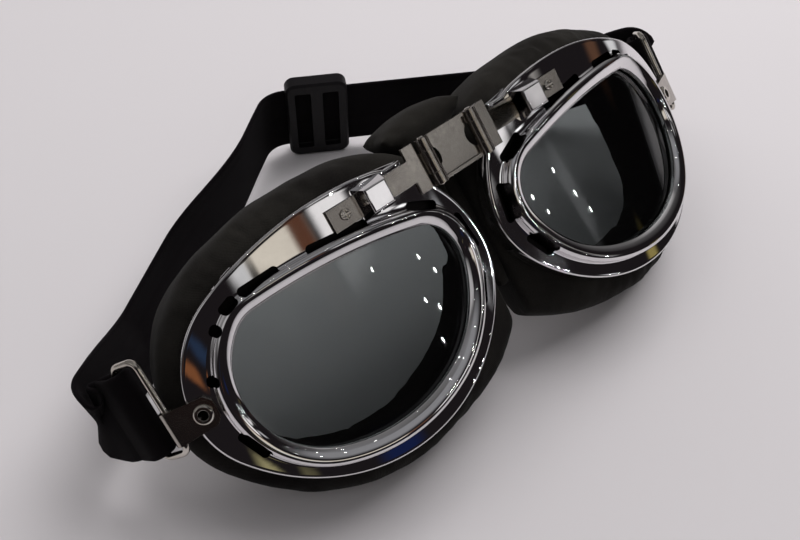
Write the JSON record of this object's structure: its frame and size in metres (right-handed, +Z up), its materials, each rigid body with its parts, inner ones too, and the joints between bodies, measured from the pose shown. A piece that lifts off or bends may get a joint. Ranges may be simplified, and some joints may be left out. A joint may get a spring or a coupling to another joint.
{
  "type": "aviator goggles",
  "caption": "Aviator goggles with curved chromed eye frames, tinted lenses, deep padded cushions, a hinged sliding bridge, wire rings and a fabric strap.",
  "frame": {"origin": "centre of the bounding box at its bottom, on the table", "axes": "+X to the wearer's left, the lenses look towards -Y and up at 45 degrees, +Z up from the table"},
  "size_m": [0.2124, 0.1246, 0.0697],
  "materials": {
    "chrome": "bright plated",
    "steel": "bright",
    "lens": "smoke grey tint, polished",
    "seal": "matt",
    "rim": "plain",
    "cushion": "soft, matt",
    "strap": "woven elastic",
    "slider": "satin"
  },
  "bodies": {
    "bridge": {"bridge_link": "chrome", "left_hinge_pin": "steel", "right_hinge_pin": "steel", "nose_cushion": "cushion", "strap": "strap"},
    "slider": {"strap_slider": "slider"},
    "left_bridge_arm": {"left_arm": "chrome", "left_stop_screw": "steel"},
    "left_eye": {"left_frame": "chrome", "left_lens": "lens", "left_lens_seal": "seal", "left_lens_retainer": "rim", "left_cushion": "cushion", "left_guide_block": "chrome", "left_strap_bracket": "chrome", "left_eyelet": "chrome", "left_strap_loop": "strap"},
    "left_ring": {"left_wire_ring": "steel"},
    "right_bridge_arm": {"right_arm": "chrome", "right_stop_screw": "steel"},
    "right_eye": {"right_frame": "chrome", "right_lens": "lens", "right_lens_seal": "seal", "right_lens_retainer": "rim", "right_cushion": "cushion", "right_guide_block": "chrome", "right_strap_bracket": "chrome", "right_eyelet": "chrome", "right_strap_loop": "strap"},
    "right_ring": {"right_wire_ring": "steel"}
  },
  "joints": [
    {"name": "left_fold", "type": "hinge", "parent": "bridge", "child": "left_bridge_arm", "pos_m": [0.0082, -0.02143, 0.06398], "axis": [0, 0.7071, 0.7071], "range_deg": [-9, 12], "deforming": ["strap", "nose_cushion"]},
    {"name": "left_spacing", "type": "slide", "parent": "left_bridge_arm", "child": "left_eye", "axis": [1, 0.0056, -0.0056], "range_m": [0, 0.0025], "deforming": ["strap", "nose_cushion"]},
    {"name": "left_ring_swing", "type": "hinge", "parent": "left_eye", "child": "left_ring", "pos_m": [0.09211, -0.01965, 0.03646], "axis": [0, 0.7071, 0.7071], "range_deg": [-8, 8]},
    {"name": "right_fold", "type": "hinge", "parent": "bridge", "child": "right_bridge_arm", "pos_m": [-0.0082, -0.02143, 0.06398], "axis": [0, -0.7071, -0.7071], "range_deg": [-9, 12], "deforming": ["strap", "nose_cushion"]},
    {"name": "right_spacing", "type": "slide", "parent": "right_bridge_arm", "child": "right_eye", "axis": [-1, 0.0056, -0.0056], "range_m": [0, 0.0025], "deforming": ["strap", "nose_cushion"]},
    {"name": "right_ring_swing", "type": "hinge", "parent": "right_eye", "child": "right_ring", "pos_m": [-0.09211, -0.01965, 0.03646], "axis": [0, -0.7071, -0.7071], "range_deg": [-8, 8]},
    {"name": "slider_run", "type": "slide", "parent": "bridge", "child": "slider", "axis": [0.844, -0.5363, 0], "range_m": [0, 0.04]}
  ]
}
